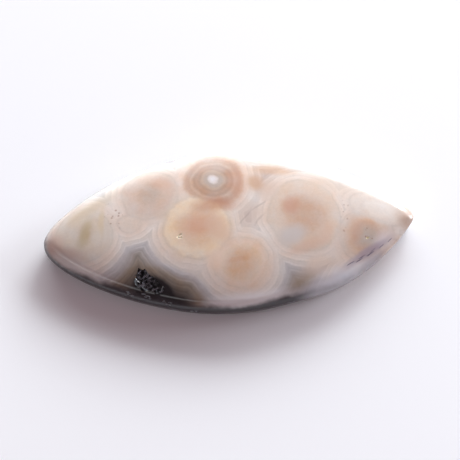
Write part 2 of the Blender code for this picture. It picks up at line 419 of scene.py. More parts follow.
def markRawSurface():
    # a face attribute that the stone's material reads: the raw colour, with the roughness as its
    # alpha; gives back the pocket's faces, where the crystals stand, each with its area
    mesh = stone.data
    names = [slot.name for slot in stone.material_slots]
    colours = mesh.attributes.new("rawColour", "FLOAT_COLOR", "FACE")
    ground = []
    for face in mesh.polygons:
        name = names[face.material_index] if names else ""
        raw = rawSurface.get(name)
        colours.data[face.index].color = linearColour(raw["colour"], raw["rough"]) if raw else (0, 0, 0, 0)
        if name == "pocket":
            ground.append((face.center.copy(), face.normal.copy(), face.area))
    mesh.materials.clear()
    return ground


pocketGround = markRawSurface()
makeActive(stone)
bpy.ops.object.shade_smooth_by_angle(angle=math.radians(stoneShape["smoothAngle"]))


def addNode(tree, kind, inputs=None, stops=None, **settings):
    node = tree.nodes.new("ShaderNode" + kind)
    for name, value in settings.items():
        setattr(node, name, value)
    for key, value in (inputs or {}).items():
        if isinstance(value, bpy.types.NodeSocket):
            tree.links.new(value, node.inputs[key])
        else:
            node.inputs[key].default_value = value
    if stops:
        ramp = node.color_ramp
        ramp.elements.remove(ramp.elements[1])
        ramp.elements[0].position, ramp.elements[0].color = stops[0][0], linearColour(stops[0][1])
        for place, hexText in stops[1:]:
            ramp.elements.new(place).color = linearColour(hexText)
    return node


# Orbs of radiating chalcedony. at is the centre in mm, reach the half sizes to the orb's outer
# ring, bands run from the centre, 0, to that ring, 1, and soft is how far its edge blends, in mm.
orbs = {
    "olive": {
        "at": (-19.4, -0.3, 4.0),
        "reach": (3.8, 3.9, 6.0),
        "turn": 0,
        "soft": 1.2,
        "uneven": 0.06,
        "bands": [
            (0.0, "b4a391"), (0.13, "b7a798"), (0.27, "beb0a5"), (0.42, "beb2a3"), (0.56, "c3b7a9"),
            (0.68, "beb3a8"), (0.8, "c5bbb0"), (0.9, "c0b6ac"), (1.0, "c7bdb3"),
        ],
    },
    "greyPink": {
        "at": (-10.3, 4.7, 4.0),
        "reach": (3.9, 3.7, 6.0),
        "turn": 20,
        "soft": 1.2,
        "uneven": 0.18,
        "bands": [
            (0.0, "978276"), (0.2, "9c8679"), (0.36, "a88b7c"), (0.52, "b69b8c"), (0.7, "bba296"),
            (0.82, "baa59b"), (0.92, "bfada2"), (1.0, "bdada4"),
        ],
    },
    "eye": {
        "at": (-1.65, 6.25, 4.2),
        "reach": (4.3, 4.4, 6.0),
        "turn": 0,
        "soft": 1.4,
        "uneven": 0.02,
        "bands": [
            (0.0, "cfd1da"), (0.1, "cdcdd5"), (0.17, "c0b8b9"), (0.23, "887e7b"), (0.3, "877871"),
            (0.37, "967a66"), (0.44, "795139"), (0.52, "8f6044"), (0.6, "7e4f34"), (0.69, "a8846f"),
            (0.77, "986e56"), (0.86, "a27560"), (0.94, "b89784"), (1.0, "d1b7a8"),
        ],
    },
    "orangeLeft": {
        "at": (-4.4, -0.6, 4.2),
        "reach": (4.5, 4.6, 6.0),
        "turn": -15,
        "soft": 1.2,
        "uneven": 0.12,
        "bands": [
            (0.0, "c79c82"), (0.24, "c89e82"), (0.4, "cca587"), (0.54, "cfac8d"), (0.68, "dbbc9c"),
            (0.8, "e1c6a5"), (0.9, "dec7ad"), (0.96, "d0baa4"), (1.0, "d0bca9"),
        ],
    },
    "orangeFront": {
        "at": (1.0, -6.0, 4.0),
        "reach": (3.7, 3.6, 6.0),
        "turn": 0,
        "soft": 1.0,
        "uneven": 0.12,
        "bands": [
            (0.0, "c89979"), (0.3, "c89a74"), (0.45, "cca07d"), (0.6, "d0ab8d"), (0.72, "d4b396"),
            (0.82, "dbbda9"), (0.92, "d4b8a5"), (1.0, "d7bfae"),
        ],
    },
    "orangeRight": {
        "at": (9.9, 0.2, 4.2),
        "reach": (4.9, 5.3, 6.0),
        "turn": 10,
        "soft": 1.0,
        "uneven": 0.15,
        "bands": [
            (0.0, "aa8c79"), (0.2, "af8d79"), (0.36, "b18c77"), (0.48, "b99681"), (0.6, "c0a390"),
            (0.74, "c6ae9d"), (0.86, "c7b2a4"), (0.94, "c4b1a3"), (1.0, "c7b6aa"),
        ],
    },
    "brownTip": {
        "at": (18.1, -3.2, 4.0),
        "reach": (3.9, 3.7, 5.5),
        "turn": 30,
        "soft": 1.3,
        "uneven": 0.1,
        "bands": [
            (0.0, "8b7b75"), (0.24, "907f76"), (0.38, "9b7f71"), (0.5, "a6816e"), (0.62, "b6947f"),
            (0.74, "bea495"), (0.86, "baa89e"), (1.0, "c3b2a9"),
        ],
    },
    "paleTip": {
        "at": (20.2, 0.8, 4.0),
        "reach": (4.0, 2.4, 5.0),
        "turn": -18,
        "soft": 1.5,
        "uneven": 0.1,
        "bands": [(0.0, "d0c8c3"), (0.4, "cfc6c0"), (0.6, "c5bab4"), (0.8, "cbc0b9"), (1.0, "c6b9b2")],
    },
    "paleFront": {
        "at": (18.9, -8.3, 2.0),
        "reach": (6.8, 3.9, 3.6),
        "turn": 30,
        "soft": 1.2,
        "uneven": 0.1,
        "bands": [(0.0, "ceb4a8"), (0.5, "ceb4a8"), (0.8, "d1b8ab"), (1.0, "ceb6aa")],
    },
    "paleLeft": {
        "at": (-13.2, 0.7, 4.2),
        "reach": (1.7, 1.3, 3.0),
        "turn": 0,
        "soft": 0.9,
        "uneven": 0.1,
        "bands": [(0.0, "c9bbb2"), (0.5, "cdbdb2"), (1.0, "cbbab0")],
    },
    "paleRear": {
        "at": (7.0, 11.0, 2.2),
        "reach": (6.5, 2.8, 3.0),
        "turn": 0,
        "soft": 1.2,
        "uneven": 0.1,
        "bands": [(0.0, "d8c9c0"), (0.5, "d4c4ba"), (0.8, "d8c9c0"), (1.0, "d1c0b6")],
    },
    "backLeft": {
        "at": (-14.0, -2.0, -0.8),
        "reach": (4.6, 4.2, 2.4),
        "turn": 0,
        "soft": 0.4,
        "uneven": 0.15,
        "bands": [(0.0, "c0957e"), (0.4, "cda58c"), (0.6, "bda08f"), (0.8, "d2baa8"), (1.0, "b8a89f")],
    },
    "backMiddle": {
        "at": (3.5, 2.5, -0.8),
        "reach": (5.2, 5.0, 2.4),
        "turn": 0,
        "soft": 0.4,
        "uneven": 0.06,
        "bands": [
            (0.0, "e0e1e6"), (0.18, "b5aca4"), (0.4, "bb937c"), (0.6, "cfae98"), (0.8, "bd9c89"),
            (1.0, "cdb9ab"),
        ],
    },
    "backRight": {
        "at": (15.0, -1.0, -0.8),
        "reach": (4.2, 4.0, 2.4),
        "turn": 0,
        "soft": 0.4,
        "uneven": 0.2,
        "bands": [(0.0, "b9998a"), (0.4, "cba791"), (0.7, "d6c0b1"), (1.0, "c2b1a7")],
    },
}

# Between the orbs the silica settled in even coats: pale ones first, then blue-grey, and last the
# brown to nearly black quartz that filled what was left. Keys are mm from the nearest orb.
coats = [
    (-0.3, "d8c2b2"), (0.5, "d7c4b8"), (1.3, "d4c5bb"), (1.9, "cdc1ba"), (2.4, "bdb4b2"), (2.9, "b0a7a5"),
    (3.4, "a79c97"), (3.9, "9b8f86"), (4.6, "8b7c6f"), (5.4, "7a6d62"), (6.4, "625850"), (7.4, "423c39"),
    (8.4, "201f20"),
]

# Soft washes of colour that the rings alone don't have: iron stains and milky places, and on the walls
# and the eye some painted sheen, reflection, highlight and light. Each has its name, its centre and
# half sizes in mm, its turn in degrees, its colour and its strength.
washes = [
    ("left tip rust", (-23.4, -1.0, 3.6), (1.4, 1.7, 2.0), 0, "cba898", 0.5),
    ("left shoulder rust", (-21.3, -2.9, 3.9), (2.4, 1.0, 1.2), -30, "bb998b", 0.45),
    ("cream at the left rear", (-18.3, 3.6, 4.0), (4.5, 1.3, 2.0), 32, "c8b296", 0.5),
    ("olive heart", (-19.3, -0.3, 4.0), (1.1, 2.5, 2.0), -20, "aa9671", 0.6),
    ("pink patch", (-8.7, 6.2, 4.6), (1.8, 1.4, 2.0), -20, "c99e86", 0.4),
    ("yellow streak", (-16.9, 1.2, 4.4), (0.5, 2.6, 2.0), -6, "cbb494", 0.5),
    ("yellow rear band", (6.2, 7.3, 4.4), (3.6, 0.9, 2.0), -8, "c99b74", 0.55),
    ("tan spot", (4.0, 5.5, 4.8), (1.2, 1.5, 2.0), 0, "b58a66", 0.65),
    ("pink round the tan spot", (4.9, 5.2, 4.8), (2.2, 2.6, 2.0), 0, "c29f89", 0.5),
    ("milky place in the right orb", (8.0, -2.7, 4.8), (2.3, 1.7, 2.0), 10, "c2b7b2", 0.85),
    ("orange front rim", (10.0, -4.4, 4.8), (3.2, 0.9, 2.0), 18, "cda48c", 0.45),
    ("orange right rim", (12.6, -2.6, 4.8), (1.1, 1.8, 2.0), -35, "cfa992", 0.5),
    ("rust heart of the right orb", (8.3, 1.6, 4.8), (1.6, 1.6, 2.0), 0, "c0907a", 0.55),
    ("rust heart of the left orb", (-4.0, -0.3, 5.0), (2.8, 2.0, 2.0), 0, "c6937a", 0.45),
    ("pink beside it", (-1.6, -1.2, 5.0), (1.7, 2.8, 2.0), 15, "cdaa94", 0.7),
    ("cream at the right rear", (14.8, 4.8, 4.4), (4.0, 1.6, 2.0), -27, "c3ab99", 0.5),
    ("brown where two orbs meet", (-2.0, 2.4, 5.0), (3.4, 1.2, 2.0), 0, "b17a60", 0.6),
    # painted sheen on the eye's upper side
    ("painted sheen on the rear of the eye", (-1.9, 8.4, 4.6), (2.8, 1.3, 2.0), 0, "d6c2b8", 0.25),
    ("rust beside the eye", (1.4, 5.8, 5.0), (1.6, 3.0, 2.0), 0, "bb8a73", 0.4),
    ("streak in the front orb", (0.7, -5.6, 4.8), (2.0, 0.5, 2.0), 0, "c48d6f", 0.25),
    ("milky tip", (20.6, -3.6, 3.8), (2.0, 1.6, 2.0), 30, "d6cdd0", 0.6),
    ("tan tip", (24.0, -0.6, 2.6), (1.8, 2.2, 2.0), 0, "b0917f", 0.7),
    ("grey end of the wall", (18.8, -6.6, 2.6), (2.6, 1.5, 1.1), 33, "a39ca2", 0.7),
    ("peach notch", (11.4, -7.0, 3.8), (3.2, 1.8, 1.3), 20, "e2c3ab", 0.45),
    ("brown notch", (8.9, -8.8, 3.4), (2.2, 1.8, 1.8), 0, "a9917a", 0.4),
    # paler stone with a painted sheen over it on the right wall
    ("pale right wall under painted sheen", (12.9, -9.7, 2.4), (7.4, 3.4, 1.7), 22, "e3e1e5", 0.95),
    # paler stone with painted light lifting the front rim and wall out of shade
    ("pale front rim with painted light", (2.2, -11.2, 3.45), (7.6, 1.8, 1.0), 4, "e3dad8", 0.9),
    ("purple broken edge", (18.0, -5.3, 3.0), (4.4, 0.7, 1.6), 32, "9a8c99", 0.7),
    ("orange side of the tip orb", (16.4, -2.4, 4.0), (1.2, 2.2, 2.0), -16, "bd9177", 0.4),
    # paler stone with a painted reflection on the upper left wall
    ("pale left wall with painted reflection", (-20.6, -5.0, 3.3), (5.2, 1.6, 1.0), -31, "d8d2ce", 0.8),
    ("web between the orbs", (2.7, 0.7, 5.0), (1.8, 2.6, 2.0), -10, "c9b1a2", 0.65),
    ("pale saddle", (-2.3, -5.3, 5.0), (1.6, 1.8, 2.0), 0, "e2c6b2", 0.6),
    ("first vein", (2.05, 0.2, 5.0), (1.5, 0.17, 2.0), 48, "a18d86", 0.35),
    ("second vein", (4.0, 2.0, 5.0), (1.4, 0.17, 2.0), 39, "a18d86", 0.35),
    ("third vein", (3.95, -0.25, 5.0), (1.3, 0.17, 2.0), 55, "a18d86", 0.3),
    # painted highlight: the rear wall whitened like the blown highlight on the far rim
    ("painted highlight on the rear wall, right", (15.0, 8.3, 3.0), (6.5, 1.8, 2.0), -28, "eae6e4", 0.8),
    ("painted highlight on the rear wall, left", (-16.3, 7.6, 3.0), (6.5, 1.8, 2.0), 27, "e8e0d8", 0.7),
]

# Rows of tiny rust-brown specks, each scattered inside a soft outline
specks = {
    "spots": [
        {"at": (15.5, 0.2, 4.0), "reach": (0.55, 3.2, 2.0), "turn": -12},
        {"at": (-15.3, 2.2, 4.0), "reach": (1.2, 2.4, 2.0), "turn": 15},
        {"at": (18.3, -3.1, 4.0), "reach": (1.4, 1.2, 2.0), "turn": 0},
    ],
    "apart": 0.6,
    "size": 0.3,
    "edge": (1.1, 0.7),  # of a spot's reach, where its specks end and where all of them show
    "colour": "8a6050",
    "strength": 0.6,
}

# Sizes and distances are mm. The foot is the dark strip low on the front wall, partly the stone's
# dark quartz and partly painted shade where the wall turns away from the lamps, and the vugs are
# the dark places round the open pocket.
jasper = {
    "drift": {"size": 4.5, "amount": 0.5},
    "wobble": {"size": 0.9, "amount": 0.16},
    "meet": 0.35,  # how far the coats round off where two orbs meet
    "overlap": 0.12,  # how far an orb reaches past that line
    # the foot's colour is painted shade, with some dark quartz, low on the walls
    "footShade": {
        "rightEnd": 9.2, "frontOf": -1.2, "blend": 1.6, "below": 3.0, "gain": 2.0, "colour": "3f3c3f",
        "middle": 2.7, "climb": 0.12, "mostClimb": 0.45, "half": 0.42, "strength": 0.95, "elsewhere": 0.38,
        "tipFrom": 17.5, "tipTo": 21.5,
    },
    # depth darkens the coats lower down on every wall: partly dark quartz, partly painted shade
    "depth": {"below": 3.1, "gain": 0.6},
    "vugs": [
        {"at": (-9.7, -9.6, 3.6), "reach": (7.7, 5.0, 5.0), "turn": -14, "gain": 3.0},
        {"at": (-10.6, -8.4, 3.6), "reach": (3.3, 2.0, 3.0), "turn": -28, "gain": 5.0},
    ],
    "vugEdge": (1.0, 0.15),
    "washEdge": (1.25, 0.3),
    "lines": [{"spacing": 0.8, "strength": 0.085}, {"spacing": 0.37, "strength": 0.05}],
    "lineFade": {"size": 2.6, "from": 0.36, "to": 0.56, "least": 0.2},
    "lineStart": -0.9,  # the gap to the nearest orb where growth lines begin
    "lineFull": 2.2,  # and where they are strongest
    "seam": {"width": 0.3, "strength": 0.05},
    "outline": {"width": 0.36, "strength": 0.03},
    "mottle": {"size": 1.3, "detail": 2.0},
    "stain": {"size": 2.2, "from": 0.3, "to": 0.7, "least": 0.84, "most": 1.18},
    "grain": {"size": 0.3, "strength": 0.08},
    "tone": (1.04, 1.07, 1.1),  # lifts the red, green and blue of the whole stone
    "roughness": 0.15,
    "dullFoot": {"from": 1.8, "to": 0.7, "roughness": 0.5},
    "ior": 1.54,
    "translucency": 0.2,
    "scatter": 0.9,
    "scatterColour": (1.0, 0.78, 0.62),  # red light goes furthest
    "rawMark": 0.01,  # a face whose alpha is more than this is raw
}


def softSpot(tree, place, at, reach, turn):
    # distance from a centre, 0, to the edge of an ellipsoid with these half sizes, 1
    local = addNode(
        tree,
        "Mapping",
        {"Vector": place, "Location": at, "Rotation": (0, 0, math.radians(turn)), "Scale": reach},
        vector_type="TEXTURE",
    )
    return addNode(tree, "VectorMath", {0: local.outputs[0]}, operation="LENGTH").outputs["Value"]


def bentPlace(tree):
    # object coordinates in mm, bent a little, because no orb grew quite round
    place = addNode(tree, "TexCoord").outputs["Object"]
    place = addNode(tree, "Mapping", {"Vector": place, "Scale": (1 / mm,) * 3}).outputs[0]
    for bend in (jasper["drift"], jasper["wobble"]):
        cloud = addNode(tree, "TexNoise", {"Vector": place, "Scale": 1 / bend["size"], "Detail": 1.0})
        even = {0: cloud.outputs["Color"], 1: (0.5,) * 3}
        even = addNode(tree, "VectorMath", even, operation="SUBTRACT")
        shift = {0: even.outputs[0], 1: (2 * bend["amount"],) * 3, 2: place}
        place = addNode(tree, "VectorMath", shift, operation="MULTIPLY_ADD").outputs[0]
    return place


def growOrbs(tree, place):
    # each orb's ring, 0 at its centre and 1 at its outer ring, and its gap, the mm from there, less
    # than 0 inside; then the gap to the nearest orb of all, and how much further away the next is
    grown = {}
    nearest = further = None
    for name, orb in orbs.items():
        ring = softSpot(tree, place, orb["at"], orb["reach"], orb["turn"])
        size = (orb["reach"][0] + orb["reach"][1]) / 2
        gap = addNode(tree, "Math", {0: ring, 1: size, 2: -size}, operation="MULTIPLY_ADD").outputs[0]
        grown[name] = ring, gap
        if not nearest:
            nearest = gap
            continue
        other = addNode(tree, "Math", {0: nearest, 1: gap}, operation="MAXIMUM").outputs[0]
        if further:
            other = addNode(tree, "Math", {0: further, 1: other}, operation="MINIMUM").outputs[0]
        further = other
        meeting = {0: nearest, 1: gap, 2: jasper["meet"]}
        nearest = addNode(tree, "Math", meeting, operation="SMOOTH_MIN").outputs[0]
    lead = addNode(tree, "Math", {0: further, 1: nearest}, operation="SUBTRACT").outputs[0]
    return grown, nearest, lead


def under(tree, height, level):
    # mm below a level, and 0 above it
    depth = addNode(tree, "Math", {0: level, 1: height}, operation="SUBTRACT").outputs[0]
    return addNode(tree, "Math", {0: depth, 1: 0.0}, operation="MAXIMUM").outputs[0]


def footShadeMask(tree, place):
    # where the foot's painted shade is strongest: 1 along the front and the left tip, 0 behind them
    # and at the right, with a soft change between
    footShade = jasper["footShade"]
    spot = addNode(tree, "SeparateXYZ", {0: place})
    blend = footShade["blend"]
    across = {0: spot.outputs["X"], 1: footShade["rightEnd"] + blend, 2: footShade["rightEnd"] - blend}
    across = addNode(tree, "MapRange", across).outputs[0]
    deep = {0: spot.outputs["Y"], 1: footShade["frontOf"] + blend, 2: footShade["frontOf"] - blend}
    deep = addNode(tree, "MapRange", deep).outputs[0]
    return addNode(tree, "Math", {0: across, 1: deep}, operation="MULTIPLY").outputs[0]


def coatColour(tree, place, height, nearest, front):
    # the late dark coats come sooner deeper down, along the front foot and round the open pocket;
    # low on the walls this darkening is partly dark quartz and partly painted shade
    deep, footShade = jasper["depth"], jasper["footShade"]
    sooner = {0: under(tree, height, deep["below"]), 1: deep["gain"], 2: nearest}
    coat = addNode(tree, "Math", sooner, operation="MULTIPLY_ADD").outputs[0]
    sinking = addNode(tree, "Math", {0: front, 1: footShade["gain"]}, operation="MULTIPLY").outputs[0]
    sooner = {0: under(tree, height, footShade["below"]), 1: sinking, 2: coat}
    coat = addNode(tree, "Math", sooner, operation="MULTIPLY_ADD").outputs[0]
    gone, full = jasper["vugEdge"]
    for vug in jasper["vugs"]:
        spot = softSpot(tree, place, vug["at"], vug["reach"], vug["turn"])
        edge = {0: spot, 1: gone, 2: full, 3: 0.0, 4: vug["gain"]}
        spot = addNode(tree, "MapRange", edge, interpolation_type="SMOOTHSTEP").outputs[0]
        coat = addNode(tree, "Math", {0: coat, 1: spot}, operation="ADD").outputs[0]
    first, last = coats[0][0], coats[-1][0]
    coat = addNode(tree, "MapRange", {0: coat, 1: first, 2: last}).outputs[0]
    stops = [((key - first) / (last - first), hexText) for key, hexText in coats]
    return addNode(tree, "ValToRGB", {0: coat}, stops=stops).outputs["Color"]


def paintFootShade(tree, colour, along, height, front, nearest):
    # painted shade, partly dark quartz: the wall darkens downwards, sooner where the orbs are further
    # off, but not at the sharp tip
    footShade = jasper["footShade"]
    climb = addNode(tree, "Math", {0: nearest, 1: footShade["climb"]}, operation="MULTIPLY").outputs[0]
    climb = addNode(tree, "Math", {0: climb, 1: footShade["mostClimb"]}, operation="MINIMUM").outputs[0]
    above = addNode(tree, "Math", {0: height, 1: climb}, operation="SUBTRACT").outputs[0]
    low = {0: above, 1: footShade["middle"] + footShade["half"], 2: footShade["middle"] - footShade["half"]}
    low = addNode(tree, "MapRange", low, interpolation_type="SMOOTHSTEP").outputs[0]
    most = addNode(tree, "MapRange", {0: front, 3: footShade["elsewhere"], 4: footShade["strength"]}).outputs[0]
    low = addNode(tree, "Math", {0: low, 1: most}, operation="MULTIPLY").outputs[0]
    beforeTip = addNode(tree, "MapRange", {0: along, 1: footShade["tipTo"], 2: footShade["tipFrom"]}).outputs[0]
    low = addNode(tree, "Math", {0: low, 1: beforeTip}, operation="MULTIPLY").outputs[0]
    tint = {0: low, 6: colour, 7: linearColour(footShade["colour"])}
    return addNode(tree, "Mix", tint, data_type="RGBA").outputs[2]


def paintOrbs(tree, colour, place, grown, nearest):
    # an orb shows where it is the nearest, and a soft mottle keeps its rings uneven
    mottle = jasper["mottle"]
    cloud = {"Vector": place, "Scale": 1 / mottle["size"], "Detail": mottle["detail"]}
    cloud = addNode(tree, "TexNoise", cloud).outputs[0]
    cloud = addNode(tree, "Math", {0: cloud, 1: 0.5}, operation="SUBTRACT").outputs[0]
    for name, (ring, gap) in grown.items():
        orb = orbs[name]
        side = addNode(tree, "Math", {0: gap, 1: nearest}, operation="SUBTRACT").outputs[0]
        side = addNode(tree, "Math", {0: side, 1: -jasper["overlap"]}, operation="ADD").outputs[0]
        side = addNode(tree, "Math", {0: side, 1: gap}, operation="MAXIMUM").outputs[0]
        edge = {0: side, 1: orb["soft"], 2: -orb["soft"], 3: 0.0, 4: 1.0}
        inside = addNode(tree, "MapRange", edge, interpolation_type="SMOOTHSTEP").outputs[0]
        uneven = {0: cloud, 1: orb["uneven"] * 2, 2: ring}
        uneven = addNode(tree, "Math", uneven, operation="MULTIPLY_ADD").outputs[0]
        rings = addNode(tree, "ValToRGB", {0: uneven}, stops=orb["bands"], label=name).outputs["Color"]
        colour = addNode(tree, "Mix", {0: inside, 6: colour, 7: rings}, data_type="RGBA").outputs[2]
    stain = jasper["stain"]
    patches = addNode(tree, "TexNoise", {"Vector": place, "Scale": 1 / stain["size"], "Detail": 2.0})
    richness = {
        0: patches.outputs[0], 1: stain["from"], 2: stain["to"], 3: stain["least"], 4: stain["most"],
    }
    richness = addNode(tree, "MapRange", richness).outputs[0]
    return addNode(tree, "HueSaturation", {"Saturation": richness, "Color": colour}).outputs[0]


def paintWashes(tree, colour, place):
    gone, full = jasper["washEdge"]
    for name, at, reach, turn, hexText, strength in washes:
        ring = softSpot(tree, place, at, reach, turn)
        edge = {0: ring, 1: gone, 2: full, 3: 0.0, 4: strength}
        fade = addNode(tree, "MapRange", edge, interpolation_type="SMOOTHSTEP", label=name).outputs[0]
        tint = {0: fade, 6: colour, 7: linearColour(hexText)}
        colour = addNode(tree, "Mix", tint, data_type="RGBA").outputs[2]
    return colour


def sprinkleSpecks(tree, colour, place):
    cells = addNode(tree, "TexVoronoi", {"Vector": place, "Scale": 1 / specks["apart"]})
    size = specks["size"]
    dot = {0: cells.outputs["Distance"], 1: size, 2: size / 3, 3: 0.0, 4: specks["strength"]}
    dot = addNode(tree, "MapRange", dot).outputs[0]
    region = None
    for spot in specks["spots"]:
        ring = softSpot(tree, place, spot["at"], spot["reach"], spot["turn"])
        if region:
            ring = addNode(tree, "Math", {0: region, 1: ring}, operation="MINIMUM").outputs[0]
        region = ring
    gone, full = specks["edge"]
    region = addNode(tree, "MapRange", {0: region, 1: gone, 2: full}).outputs[0]
    dot = addNode(tree, "Math", {0: dot, 1: region}, operation="MULTIPLY").outputs[0]
    tint = {0: dot, 6: colour, 7: linearColour(specks["colour"])}
    return addNode(tree, "Mix", tint, data_type="RGBA").outputs[2]


def drawLines(tree, colour, place, nearest, lead):
    # the fine growth lines follow the orbs inside and out, and come and go along their way
    fade = jasper["lineFade"]
    patches = addNode(tree, "TexNoise", {"Vector": place, "Scale": 1 / fade["size"], "Detail": 1.0})
    crisp = {0: patches.outputs[0], 1: fade["from"], 2: fade["to"], 3: fade["least"], 4: 1.0}
    crisp = addNode(tree, "MapRange", crisp).outputs[0]
    outer = {0: nearest, 1: jasper["lineStart"], 2: jasper["lineFull"]}
    outer = addNode(tree, "MapRange", outer).outputs[0]
    edge = jasper["outline"]
    away = addNode(tree, "Math", {0: nearest}, operation="ABSOLUTE").outputs[0]
    shade = {0: away, 1: 0.0, 2: edge["width"], 3: edge["strength"], 4: 0.0}
    shade = addNode(tree, "MapRange", shade).outputs[0]
    shade = addNode(tree, "Math", {0: shade, 1: crisp}, operation="MULTIPLY").outputs[0]
    shade = addNode(tree, "Math", {0: 1.0, 1: shade}, operation="SUBTRACT").outputs[0]
    crisp = addNode(tree, "Math", {0: crisp, 1: outer}, operation="MULTIPLY").outputs[0]
    for line in jasper["lines"]:
        angle = {0: nearest, 1: math.tau / line["spacing"]}
        angle = addNode(tree, "Math", angle, operation="MULTIPLY").outputs[0]
        wave = addNode(tree, "Math", {0: angle}, operation="COSINE").outputs[0]
        wave = addNode(tree, "Math", {0: wave, 1: crisp}, operation="MULTIPLY").outputs[0]
        darker = {0: wave, 1: -line["strength"], 2: shade}
        shade = addNode(tree, "Math", darker, operation="MULTIPLY_ADD").outputs[0]
    seam = jasper["seam"]
    seamLine = {0: lead, 1: 0.0, 2: seam["width"], 3: seam["strength"], 4: 0.0}
    seamLine = addNode(tree, "MapRange", seamLine).outputs[0]
    seamLine = addNode(tree, "Math", {0: seamLine, 1: crisp}, operation="MULTIPLY").outputs[0]
    shade = addNode(tree, "Math", {0: shade, 1: seamLine}, operation="SUBTRACT").outputs[0]
    grain = jasper["grain"]
    flecks = addNode(tree, "TexNoise", {"Vector": place, "Scale": 1 / grain["size"], "Detail": 3.0})
    flecks = addNode(tree, "Math", {0: flecks.outputs[0], 1: 0.5}, operation="SUBTRACT").outputs[0]
    flecks = {0: flecks, 1: grain["strength"] * 2, 2: shade}
    shade = addNode(tree, "Math", flecks, operation="MULTIPLY_ADD").outputs[0]
    return addNode(tree, "VectorMath", {0: colour, 3: shade}, operation="SCALE").outputs[0]


def jasperMaterial():
    # Ocean jasper, an orbicular chalcedony, cut and polished. It gives soft ringed orbs under a
    # clear gloss, and light that sinks a little way in before it comes back.
    material = bpy.data.materials.new("polishedOceanJasper")
    material.use_nodes = True
    tree = material.node_tree
    shader = tree.nodes["Principled BSDF"]
    place = bentPlace(tree)
    grown, nearest, lead = growOrbs(tree, place)
    spot = addNode(tree, "SeparateXYZ", {0: place})
    height = spot.outputs["Z"]
    front = footShadeMask(tree, place)
    colour = coatColour(tree, place, height, nearest, front)
    colour = paintOrbs(tree, colour, place, grown, nearest)
    colour = drawLines(tree, colour, place, nearest, lead)
    colour = paintWashes(tree, colour, place)
    # painted shade, with some dark quartz, low on the walls
    colour = paintFootShade(tree, colour, spot.outputs["X"], height, front, nearest)
    colour = sprinkleSpecks(tree, colour, place)
    colour = addNode(tree, "VectorMath", {0: colour, 1: jasper["tone"]}, operation="MULTIPLY").outputs[0]

    raw = addNode(tree, "Attribute", attribute_name="rawColour")
    isRaw = {0: raw.outputs["Alpha"], 1: jasper["rawMark"]}
    isRaw = addNode(tree, "Math", isRaw, operation="GREATER_THAN").outputs[0]
    tint = {0: isRaw, 6: colour, 7: raw.outputs["Color"]}
    colour = addNode(tree, "Mix", tint, data_type="RGBA").outputs[2]
    dull = jasper["dullFoot"]
    rough = {0: height, 1: dull["from"], 2: dull["to"], 3: jasper["roughness"], 4: dull["roughness"]}
    rough = addNode(tree, "MapRange", rough).outputs[0]
    rough = addNode(tree, "Math", {0: raw.outputs["Alpha"], 1: rough}, operation="MAXIMUM").outputs[0]

    tree.links.new(colour, shader.inputs["Base Color"])
    tree.links.new(rough, shader.inputs["Roughness"])
    shader.inputs["IOR"].default_value = jasper["ior"]
    shader.inputs["Subsurface Weight"].default_value = jasper["translucency"]
    shader.inputs["Subsurface Radius"].default_value = jasper["scatterColour"]
    shader.inputs["Subsurface Scale"].default_value = jasper["scatter"] * mm
    return material


stone.data.materials.append(jasperMaterial())
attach(stone, "root")
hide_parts("cabochon")
print("stone finished")


# The quartz points in the pocket. Lengths are mm, and lean is degrees. A point has six sides and
# a six-sided tip that sits a little off its middle.
quartz = {
    "count": 64,
    "radius": 0.065,
    "prism": 0.7,
    "tip": 0.18,
    "taper": 0.9,
    "tipShift": (0.05, 0.03),
    "sizes": (0.55, 1.5),
    "lean": (10, 50),
    "root": 0.12,
    "below": 0.05,
    "castFrom": 20,
    "seed": 7,
    "colour": "e6ecf4",
    "clearness": 0.75,
    "roughness": 0.06,
    "ior": 1.544,
}


def modelQuartzPoint():
    deselectAll()
    prism = quartz["prism"] * mm
    bpy.ops.mesh.primitive_cylinder_add(
        vertices=6,
        radius=quartz["radius"] * mm,
        depth=prism,
        location=(0, 0, prism / 2),
        end_fill_type="NGON",
    )
    point = bpy.context.object
    point.name = "quartzPoint"
    point.data.transform(point.matrix_world)
    point.matrix_world = Matrix()
    bpy.ops.object.mode_set(mode="EDIT")
    bpy.ops.mesh.select_all(action="DESELECT")
    edit = bmesh.from_edit_mesh(point.data)
    for face in edit.faces:
        face.select_set(face.normal.z > 0.9)  # the top face
    bmesh.update_edit_mesh(point.data)
    taper = (quartz["taper"], quartz["taper"], 1)
    bpy.ops.transform.resize(value=taper, center_override=(0, 0, prism))
    shift = (quartz["tipShift"][0] * mm, quartz["tipShift"][1] * mm, quartz["tip"] * mm)
    bpy.ops.mesh.extrude_region_move(TRANSFORM_OT_translate={"value": shift})
    bpy.ops.mesh.merge(type="CENTER")
    bpy.ops.object.mode_set(mode="OBJECT")
    return point


def standPoint(model, dice):
    # one copy on a random spot of the pocket, kept under the polished top
    areas = [area for centre, outward, area in pocketGround]
    centre, outward = dice.choices(pocketGround, weights=areas)[0][:2]
    size = dice.uniform(*quartz["sizes"])
    lean = math.radians(dice.uniform(*quartz["lean"]))
    around = Matrix.Rotation(dice.uniform(0, math.tau), 4, "Z")
    upright = outward.to_track_quat("Z", "Y").to_matrix().to_4x4()
    turned = upright @ around @ Matrix.Rotation(lean, 4, "X")
    place = Matrix.Translation(centre - outward * quartz["root"] * mm) @ turned @ Matrix.Scale(size, 4)
    copy = model.data.copy()
    copy.transform(place)
    for vert in copy.vertices:
        above = Vector((vert.co.x, vert.co.y, quartz["castFrom"] * mm))
        top = polishedTop.ray_cast(above, Vector((0, 0, -1)))[0]
        if top is None or vert.co.z > top.z - quartz["below"] * mm:
            bpy.data.meshes.remove(copy)
            return None
    point = bpy.data.objects.new("quartzPoint", copy)
    bpy.context.scene.collection.objects.link(point)
    return point


